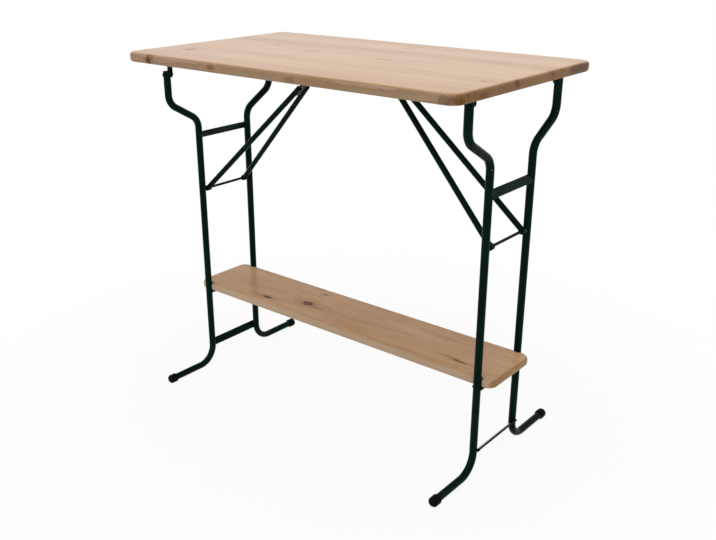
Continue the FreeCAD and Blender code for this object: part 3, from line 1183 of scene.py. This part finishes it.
@dataclass(frozen=True)
class Hinge(EndAssembly):
    """The strap under the top with its ears and pivot bolts.

    Attributes:
        ear_angles: Angles at which an ear's round end is cut into sections, in degrees.
        ear_flat, taper: Where the strap begins to widen beyond an ear, and over what length.
    """

    underside: float = 1.038
    strap_half: float = 0.017
    ear_half: float = 0.010
    ear_angles: tuple[float, ...] = (8.0, 20.0, 35.0, 50.0, 65.0, 80.0, 90.0)
    ear_middle_y: float = 0.1992
    ear_flat: float = 0.008
    taper: float = 0.012
    thickness: float = 0.004
    sheet_edge: float = 0.0007
    bend_radius: float = 0.0030
    tube_face_y: float = 0.2228
    head_radius: float = 0.0065
    head_height: float = 0.002
    head_rim: float = 0.0005
    head_chamfer: float = 0.0003
    head_angles: tuple[float, ...] = (12.0, 24.0, 36.0, 48.0, 60.0, 72.0, 84.0)
    nut_radius: float = 0.007
    nut_height: float = 0.0045
    nut_chamfer: float = 0.0006
    nut_rim: float = 0.0008
    nut_sides: int = 6
    shank_radius: float = 0.005
    shank_tip_radius: float = 0.0046
    shank_tip: float = 0.001
    shank_length: float = 0.0236

    def strap_stations(self) -> list[tuple[Vector, Vector, float]]:
        """Stations along the strap's bent middle line.

        Returns:
            Place, direction and half width of each.
        """
        seat = self.underside - self.thickness / 2.0
        foot = self.hinge_z - self.ear_half
        corners = [Vector((self.plane_x, sign * self.ear_middle_y, z))
                   for sign, z in ((-1, foot), (-1, seat), (1, seat), (1, foot))]
        route = rounded_route(corners, [self.bend_radius, self.bend_radius])
        turns = [math.radians(angle) for angle in self.ear_angles]
        ends = [(self.ear_half * (1.0 - math.cos(turn)), self.ear_half * math.sin(turn)) for turn in turns]
        narrow_y = self.ear_middle_y - self.ear_flat
        wide_y = narrow_y - self.taper
        flat = [(-narrow_y, self.ear_half), (-wide_y, self.strap_half),
                (wide_y, self.strap_half), (narrow_y, self.ear_half)]
        bends = [(place, along, self.ear_half) for place, along in route[1:-1]]
        half_way = ARC_STEPS + 1
        (first, rising), (last, falling) = route[0], route[-1]
        stations = [(first + rising * rise, rising, half) for rise, half in ends]
        stations += bends[:half_way]
        stations += [(Vector((self.plane_x, y, seat)), CROSSWAYS, half) for y, half in flat]
        stations += bends[half_way:]
        return stations + [(last - falling * rise, falling, half) for rise, half in reversed(ends)]

    def strap(self, material: Material) -> None:
        """Loft the strap, narrow and round at the ears.

        Args:
            material: Its paint.
        """
        sections = []
        for place, along, half in self.strap_stations():
            normal = along.cross(LENGTHWAYS)
            edge = min(self.sheet_edge, half / 2.0)
            outline = rounded_rectangle(2.0 * half, self.thickness, edge, 2)
            sections.append([place + LENGTHWAYS * a + normal * b for a, b in outline])
        self.shape("hinge_strap", "bent", [Skin(sections)], material, Slot.PAINT)

    def bolts(self, material: Material) -> None:
        """Turn the two pivot bolts, domed outside, with a hexagon nut inside.

        Args:
            material: Their paint.
        """
        dome = [(0.0, self.head_radius - self.head_chamfer), (self.head_rim, self.head_radius)]
        for turn in [math.radians(angle) for angle in self.head_angles]:
            rise = (self.head_height - self.head_rim) * math.sin(turn)
            dome.append((self.head_rim + rise, self.head_radius * math.cos(turn)))
        nut = [(0.0, self.nut_radius - self.nut_chamfer), (self.nut_chamfer, self.nut_radius),
               (self.nut_height - self.nut_chamfer, self.nut_radius),
               (self.nut_height, self.nut_radius - self.nut_rim)]
        shank = [(-self.nut_height - self.shank_tip, self.shank_tip_radius),
                 (self.shank_length, self.shank_radius)]
        ear_face_y = self.ear_middle_y - self.thickness / 2.0
        parts = []
        for sign in BOTH_WAYS:
            outward = CROSSWAYS * sign
            head = Vector((self.plane_x, sign * self.tube_face_y, self.hinge_z))
            face = Vector((self.plane_x, sign * ear_face_y, self.hinge_z))
            parts.append(turned(head, outward, dome))
            parts.append(turned(face, -outward, nut, self.nut_sides))
            parts.append(turned(face, outward, shank, THIN_STEPS))
        self.shape("pivot_bolts", "turned", [Skin(part) for part in parts], material, Slot.PAINT)

    def build(self, palette: Palette) -> None:
        """Build and dress the hinge."""
        self.strap(palette.paint)
        self.bolts(palette.paint)


@dataclass(frozen=True)
class VBrace(EndAssembly):
    """The V brace with its eyes on the rod, its head and its catch."""

    reach: float = 0.376
    rise: float = 0.372
    arm_radius: float = 0.008
    arm_wall: float = 0.0015
    foot_y: float = 0.080
    head_y: float = 0.012
    eye_radius: float = 0.009
    eye_length: float = 0.017
    eye_bore: float = 0.00406
    eye_edge: float = 0.0016
    eye_overlap: float = 0.0025
    short_of_pin: float = 0.040
    pin_radius: float = 0.005
    pin_half: float = 0.021
    pin_edge: float = 0.001

    def point(self, share: float, row_sign: float) -> Vector:
        """Place on an arm's middle line.

        Args:
            share: Share of the way from the rod to the pin.
            row_sign: Direction of the arm's long side, or 0 for the middle.

        Returns:
            The place.
        """
        y = self.foot_y + (self.head_y - self.foot_y) * share
        x = self.side.sign * (HINGE_X - self.reach * share)
        return Vector((x, row_sign * y, self.rod_z + self.rise * share))

    def arm(self, row: Row, material: Material) -> None:
        """Loft one hollow arm and the bored eye that turns on the rod.

        Args:
            row: Long side that the arm is on.
            material: Its paint.
        """
        length = math.hypot(self.reach, self.rise)
        lean = math.hypot(length, self.foot_y - self.head_y) / length
        normal = Vector((self.side.sign * self.rise, 0.0, self.reach)).normalized()
        across = CROSSWAYS * lean
        start = (self.eye_radius - self.eye_overlap) / length
        end = 1.0 - self.short_of_pin / length
        bore = self.arm_radius - self.arm_wall
        stations = ((start, self.arm_radius), (end, self.arm_radius), (end, bore), (start, bore))
        tube = [ring(self.point(share, row.sign), across * radius, normal * radius)
                for share, radius in stations]
        origin = self.point(0.0, row.sign) - CROSSWAYS * (self.eye_length / 2.0)
        wall = rounded_profile(self.eye_length, self.eye_radius, self.eye_edge)
        eye = turned(origin, CROSSWAYS, wall + [(self.eye_length, self.eye_bore), (0.0, self.eye_bore)])
        skins = [Skin(tube, looped=True), Skin(eye, looped=True)]
        self.shape(f"{row.value}_brace_arm", "drawn", skins, material, Slot.PAINT, Body.brace(self.side))

    def pin(self, material: Material) -> None:
        """Turn the cross pin with eased ends.

        Args:
            material: Its metal.
        """
        head = self.point(1.0, 0.0)
        origin = Vector((head.x, -self.pin_half, head.z))
        profile = rounded_profile(2.0 * self.pin_half, self.pin_radius, self.pin_edge)
        skins = [Skin(turned(origin, CROSSWAYS, profile))]
        self.shape("brace_pin", "turned", skins, material, Slot.ZINC, Body.brace(self.side))

    def build(self, palette: Palette) -> None:
        """Build and dress the brace and its catch.

        Args:
            palette: The table's materials.
        """
        for row in Row:
            self.arm(row, palette.paint)
        self.pin(palette.zinc)
        for piece in ("brace_gusset", "catch_bracket"):
            paint_node(self.side.node(piece), palette.paint)
        paint_node(self.side.node("catch_spring"), palette.zinc)


@dataclass(frozen=True)
class Fixings:
    """Screw heads and weld beads, all on the frame.

    Attributes:
        recess_depth: Height of the bars that cut a screw's cross, as a share of the head's.
        head_mesh, bead_mesh: Segments and rings of a screw head's ball and of a bead.
        bead_sizes, bead_seed: Smallest and largest scale of a bead, and the seed of its draw.
    """

    head_radius: float = 0.006
    head_height: float = 0.003
    recess_width: float = 0.0012
    recess_depth: float = 0.9
    head_mesh: tuple[int, int] = (20, 12)
    bead_radius: float = 0.0015
    bead_step: float = 0.0013
    bead_mesh: tuple[int, int] = (8, 5)
    bead_sizes: Span = (0.78, 1.12)
    bead_seed: int = 7
    strap_screw_y: float = 0.155
    strap_seat: float = 1.034
    catch_seat: float = 1.035
    spring_sheet: float = 0.001
    catch_outer_x: float = 0.163
    catch_inner_x: float = 0.101
    catch_screw_y: float = 0.008

    def screw_tree(self, material: Material) -> PointTree:
        """Tree of round-head screws with a cross recess, heads down.

        Args:
            material: The screws' metal.

        Returns:
            A tree that sets a screw at each point.
        """
        tree = PointTree("screw_heads", material)
        graph = tree.graph
        radius = tree.size("Head Radius")
        height = tree.size("Head Height")
        recess = tree.size("Recess Width")
        segments, rings = self.head_mesh
        inputs = {"Segments": segments, "Rings": rings, "Radius": 1.0}
        ball = graph.add("GeometryNodeMeshUVSphere", inputs)
        inputs = {"Geometry": ball.outputs["Mesh"], "Scale": graph.joined(radius, radius, height)}
        head = graph.add("GeometryNodeTransform", inputs).outputs[0]
        depth = graph.times(height, self.recess_depth)
        drop = graph.joined(0.0, 0.0, graph.times(height, -1.0))
        for length, width in ((radius, recess), (recess, radius)):
            bar = graph.add("GeometryNodeMeshCube", {"Size": graph.joined(length, width, depth)})
            inputs = {"Geometry": bar.outputs["Mesh"], "Translation": drop}
            moved = graph.add("GeometryNodeTransform", inputs).outputs[0]
            inputs = {"Mesh 1": head, "Mesh 2": moved}
            head = graph.add("GeometryNodeMeshBoolean", inputs, operation="DIFFERENCE").outputs[0]
        tree.close(tree.entry.outputs["Geometry"], head)
        return tree

    def bead_tree(self, material: Material) -> PointTree:
        """Tree of weld beads: overlapping drops along the seams.

        Args:
            material: The paint over the beads.

        Returns:
            A tree that sets drops along each line.
        """
        tree = PointTree("weld_beads", material)
        graph = tree.graph
        radius = tree.size("Bead Radius")
        step = tree.size("Bead Step")
        seams = graph.add("GeometryNodeMeshToCurve", {0: tree.entry.outputs["Geometry"]})
        inputs = {"Curve": seams.outputs[0], "Length": step}
        points = graph.add("GeometryNodeCurveToPoints", inputs, mode="LENGTH")
        segments, rings = self.bead_mesh
        inputs = {"Segments": segments, "Rings": rings, "Radius": radius}
        drop = graph.add("GeometryNodeMeshUVSphere", inputs)
        inputs = {2: self.bead_sizes[0], 3: self.bead_sizes[1], "Seed": self.bead_seed}
        uneven = graph.add("FunctionNodeRandomValue", inputs, data_type="FLOAT")
        tree.close(points.outputs["Points"], drop.outputs["Mesh"], uneven.outputs[1])
        return tree

    def screw_places(self) -> list[Triple]:
        """Seats of the wood screws.

        Returns:
            The middle of each head's flat side.
        """
        places = []
        for side in Side:
            places += [(side.sign * HINGE_X, y, self.strap_seat)
                       for y in (-self.strap_screw_y, 0.0, self.strap_screw_y)]
            places += [(side.sign * self.catch_outer_x, sign * self.catch_screw_y, self.catch_seat)
                       for sign in BOTH_WAYS]
            places.append((side.sign * self.catch_inner_x, 0.0, self.catch_seat - self.spring_sheet))
        return places

    def screws(self, material: Material) -> None:
        """Grow all the screw heads.

        Args:
            material: Their metal.
        """
        seeds = bpy.data.meshes.new("screw_seeds")
        seeds.from_pydata(self.screw_places(), [], [])
        sizes = {"Head Radius": self.head_radius, "Head Height": self.head_height,
                 "Recess Width": self.recess_width}
        piece = self.screw_tree(material).grow("wood_screws", seeds, sizes)
        nodes = [side.node(name) for side in Side for name in ("strap_screws", "catch_screws")]
        paint_piece(piece, material, Slot.ZINC, Body.TABLE_FRAME, *nodes)

    def beads(self, leg_frames: Iterable[LegFrame], material: Material) -> None:
        """Grow the weld beads.

        Args:
            leg_frames: Frames whose seams are welded.
            material: The paint over the beads.
        """
        points: list[tuple[float, ...]] = []
        edges: list[tuple[int, int]] = []
        for leg_frame in leg_frames:
            for line in leg_frame.seams():
                first = len(points)
                points += [tuple(point) for point in line]
                edges += [(first + step, first + step + 1) for step in range(len(line) - 1)]
        seeds = bpy.data.meshes.new("bead_seeds")
        seeds.from_pydata(points, edges, [])
        sizes = {"Bead Radius": self.bead_radius, "Bead Step": self.bead_step}
        piece = self.bead_tree(material).grow("weld_beads", seeds, sizes)
        paint_piece(piece, material, Slot.PAINT, Body.TABLE_FRAME)


@dataclass(frozen=True)
class SoftBox:
    """A square lamp: its name, place, side length and power in watts."""

    name: str
    place: Triple
    size: float
    power: float


@dataclass(frozen=True)
class Studio:
    """Pale floor, soft lights and the camera at the photograph's angle.

    Attributes:
        centre_pixels: Where the camera's axis meets the picture.
        ambient: Strength of the world where it lights things.
        floor_near, floor_fade: Whiteness of the floor by the table, and where it reaches white.
    """

    camera_place: Triple = (1.5438, -1.8745, 1.3889)
    yaw: float = 0.7019
    pitch: float = 0.3809
    roll: float = -0.0055
    focal_pixels: float = 873.91
    centre_pixels: Span = (338.81, 277.15)
    picture_pixels: tuple[int, int] = (716, 540)
    sensor_mm: float = 36.0
    view_depth: float = 100.0
    ambient: float = 0.55
    floor_half: float = 9.0
    floor_grey: Colour = (0.86, 0.86, 0.86, 1.0)
    floor_near: float = 0.93
    floor_fade: Span = (0.5, 1.7)
    lamp_target: Triple = (0.0, 0.0, 0.7)
    soft_boxes: tuple[SoftBox, ...] = (
        SoftBox("soft_box_above", (0.25, -0.3, 3.4), 2.2, 29.0),
        SoftBox("soft_box_left", (-2.6, -2.2, 2.2), 1.8, 14.0),
        SoftBox("soft_box_front", (1.0, -3.2, 1.7), 1.6, 8.0))

    def camera(self) -> None:
        """Place the camera and make it the scene's own."""
        data = bpy.data.cameras.new("photo_camera")
        width, height = self.picture_pixels
        data.sensor_width = self.sensor_mm
        data.lens = self.focal_pixels / width * self.sensor_mm
        data.shift_x = (width / 2.0 - self.centre_pixels[0]) / width
        data.shift_y = (self.centre_pixels[1] - height / 2.0) / width
        data.clip_end = self.view_depth
        level_reach = math.cos(self.pitch)
        forward = Vector((-math.sin(self.yaw) * level_reach, math.cos(self.yaw) * level_reach,
                          -math.sin(self.pitch)))
        level = Vector((math.cos(self.yaw), math.sin(self.yaw), 0.0))
        above = level.cross(forward)
        right = level * math.cos(self.roll) + above * math.sin(self.roll)
        up = above * math.cos(self.roll) - level * math.sin(self.roll)
        turn = Matrix((right, up, -forward)).transposed().to_4x4()
        camera = bpy.data.objects.new("photo_camera", data)
        camera.matrix_world = Matrix.Translation(self.camera_place) @ turn
        bpy.context.scene.collection.objects.link(camera)
        bpy.context.scene.camera = camera

    def seen_directly(self, graph: Graph) -> Socket:
        """Which rays see a surface rather than carry its light.

        Args:
            graph: Graph to add to.

        Returns:
            1 for camera, glossy and transmission rays, 0 for the light that falls on things.
        """
        path = graph.add("ShaderNodeLightPath").outputs
        seen = graph.math("MAXIMUM", path["Is Camera Ray"], path["Is Glossy Ray"])
        return graph.math("MAXIMUM", seen, path["Is Transmission Ray"])

    def world(self) -> None:
        """White where it is seen, softer where it lights."""
        world = bpy.data.worlds.new("studio")
        world.use_nodes = True
        world.node_tree.nodes.clear()
        graph = Graph(world.node_tree)
        light = graph.add("ShaderNodeBackground", {"Color": WHITE, "Strength": self.ambient})
        white = graph.add("ShaderNodeBackground", {"Color": WHITE, "Strength": 1.0})
        inputs = {0: self.seen_directly(graph), 1: light.outputs[0], 2: white.outputs[0]}
        both = graph.add("ShaderNodeMixShader", inputs)
        graph.add("ShaderNodeOutputWorld", {"Surface": both.outputs[0]})
        bpy.context.scene.world = world

    def floor_material(self) -> Material:
        """Finish of the floor.

        Returns:
            A material that shows white, keeps a faint shadow and is clear from below.
        """
        material = bpy.data.materials.new("floor_white")
        material.use_nodes = True
        material.node_tree.nodes.clear()
        graph = Graph(material.node_tree)
        matt = graph.add("ShaderNodeBsdfDiffuse", {"Color": self.floor_grey})
        glow = graph.add("ShaderNodeEmission", {"Color": WHITE, "Strength": 1.0})
        place = graph.add("ShaderNodeTexCoord").outputs["Object"]
        distance = graph.add("ShaderNodeVectorMath", {0: place}, operation="LENGTH").outputs["Value"]
        far = graph.fade(distance, self.floor_fade)
        white = graph.math("MULTIPLY_ADD", far, 1.0 - self.floor_near, self.floor_near)
        share = graph.times(self.seen_directly(graph), white)
        both = graph.add("ShaderNodeMixShader", {0: share, 1: matt.outputs[0], 2: glow.outputs[0]})
        clear = graph.add("ShaderNodeBsdfTransparent")
        from_below = graph.add("ShaderNodeNewGeometry").outputs["Backfacing"]
        inputs = {0: from_below, 1: both.outputs[0], 2: clear.outputs[0]}
        surface = graph.add("ShaderNodeMixShader", inputs)
        graph.add("ShaderNodeOutputMaterial", {"Surface": surface.outputs[0]})
        return material

    def floor(self) -> None:
        """Lay the pale floor."""
        half = self.floor_half
        corners = [(-half, -half, 0.0), (half, -half, 0.0), (half, half, 0.0), (-half, half, 0.0)]
        mesh = bpy.data.meshes.new("floor")
        mesh.from_pydata(corners, [], [(0, 1, 2, 3)])
        mesh.materials.append(self.floor_material())
        link_object("floor", mesh)

    def lamp(self, soft_box: SoftBox) -> None:
        """Add a soft box aimed at the table's middle.

        Args:
            soft_box: The lamp to add.
        """
        data = bpy.data.lights.new(soft_box.name, "AREA")
        data.size = soft_box.size
        data.energy = soft_box.power
        lamp = bpy.data.objects.new(soft_box.name, data)
        aim = Vector(self.lamp_target) - Vector(soft_box.place)
        turn = aim.to_track_quat("-Z", "Y").to_matrix().to_4x4()
        lamp.matrix_world = Matrix.Translation(soft_box.place) @ turn
        bpy.context.scene.collection.objects.link(lamp)

    def build(self) -> None:
        """Set up the whole studio."""
        bpy.context.scene.view_settings.view_transform = "Standard"
        self.camera()
        self.world()
        self.floor()
        for soft_box in self.soft_boxes:
            self.lamp(soft_box)


# The first four are on the front edge; those at x 0.557 are on the right end.
TOP_KNOTS = (
    Knot(-0.455, -0.325, 0.010, 0.007, 0.85, 1.047, 0.011),
    Knot(-0.447, -0.325, 0.014, 0.010, 0.40, 1.058, 0.010),
    Knot(-0.200, -0.325, 0.016, 0.006, 0.45, 1.053, 0.007),
    Knot(0.080, -0.325, 0.018, 0.006, 0.28, 1.048, 0.008),
    Knot(-0.448, -0.178, 0.016, 0.016, 0.50),
    Knot(-0.315, 0.048, 0.022, 0.004, 0.62),
    Knot(-0.140, 0.010, 0.022, 0.005, 0.60),
    Knot(0.121, -0.007, 0.030, 0.004, 0.58),
    Knot(0.511, -0.141, 0.008, 0.004, 0.80, 1.066, 0.010),
    Knot(0.287, -0.100, 0.045, 0.003, 0.42),
    Knot(0.540, -0.300, 0.018, 0.014, 0.55, 1.046, 0.014),
    Knot(0.5555, -0.282, 0.004, 0.004, 0.55, 1.056, 0.004),
    Knot(0.557, -0.218, 0.006, 0.018, 0.36, 1.046, 0.008),
    Knot(0.557, -0.072, 0.006, 0.010, 0.55, 1.056, 0.012),
    Knot(0.557, 0.099, 0.006, 0.008, 0.40, 1.057, 0.005),
    Knot(0.557, 0.240, 0.006, 0.050, 0.62, 1.053, 0.018),
    Knot(0.050, 0.215, 0.020, 0.005, 0.40),
    Knot(0.528, -0.318, 0.022, 0.016, 0.42, 1.049, 0.012))
SHELF_KNOTS = (
    Knot(-0.283, -0.068, 0.022, 0.0070, 1.0),
    Knot(-0.147, -0.024, 0.021, 0.0130, 1.0),
    Knot(-0.110, -0.032, 0.036, 0.0050, 0.40),
    Knot(-0.149, 0.063, 0.009, 0.0042, 0.70),
    Knot(0.433, -0.057, 0.021, 0.0036, 1.0),
    Knot(0.405, -0.050, 0.030, 0.0034, 0.45))
TOP_PINE = VarnishedPine("top_pine", stave_width=0.0813, stave_shift=0.325, seed=3.0, knots=TOP_KNOTS)
# The shelf's upright faces are painted paler and bluer, standing in for light from the front.
SHELF_PINE = VarnishedPine(
    "shelf_pine", stave_width=0.0515, stave_shift=0.103, seed=21.0, knots=SHELF_KNOTS,
    pale=(0.712, 0.450, 0.262, 1.0), warm=(0.548, 0.295, 0.141, 1.0),
    side_shading_tint=(0.880, 1.040, 1.250, 1.0), ring_strength=0.46, varnish=0.05)
TABLETOP = Board("tabletop", Body.TABLE_FRAME, corner_radius=0.035, edge_radius=0.009)
SHELF = NotchedBoard("shelf", Body.SHELF_BOARD, corner_radius=0.028, edge_radius=0.010)
HINGE_HEIGHTS = {Side.LEFT: 0.990, Side.RIGHT: 1.025}


def main() -> None:
    """Build the table piece by piece and light it."""
    logging.basicConfig(level=logging.INFO, format="%(name)s: %(message)s")
    palette = Palette(
        top_wood=TOP_PINE.material(),
        shelf_wood=SHELF_PINE.material(),
        paint=GlossPaint("fir_green_paint").material(),
        zinc=ZincPlate("dull_zinc").material(),
        rubber=MouldedRubber("cap_rubber").material())
    TABLETOP.build(palette.top_wood)
    SHELF.build(palette.shelf_wood)
    leg_frames = [LegFrame(side, height) for side, height in HINGE_HEIGHTS.items()]
    for leg_frame in leg_frames:
        leg_frame.build(palette)
        Hinge(leg_frame.side, leg_frame.hinge_z).build(palette)
        VBrace(leg_frame.side, leg_frame.hinge_z).build(palette)
    fixings = Fixings()
    fixings.screws(palette.zinc)
    fixings.beads(leg_frames, palette.paint)
    Studio().build()


if __name__ == "__main__":
    main()
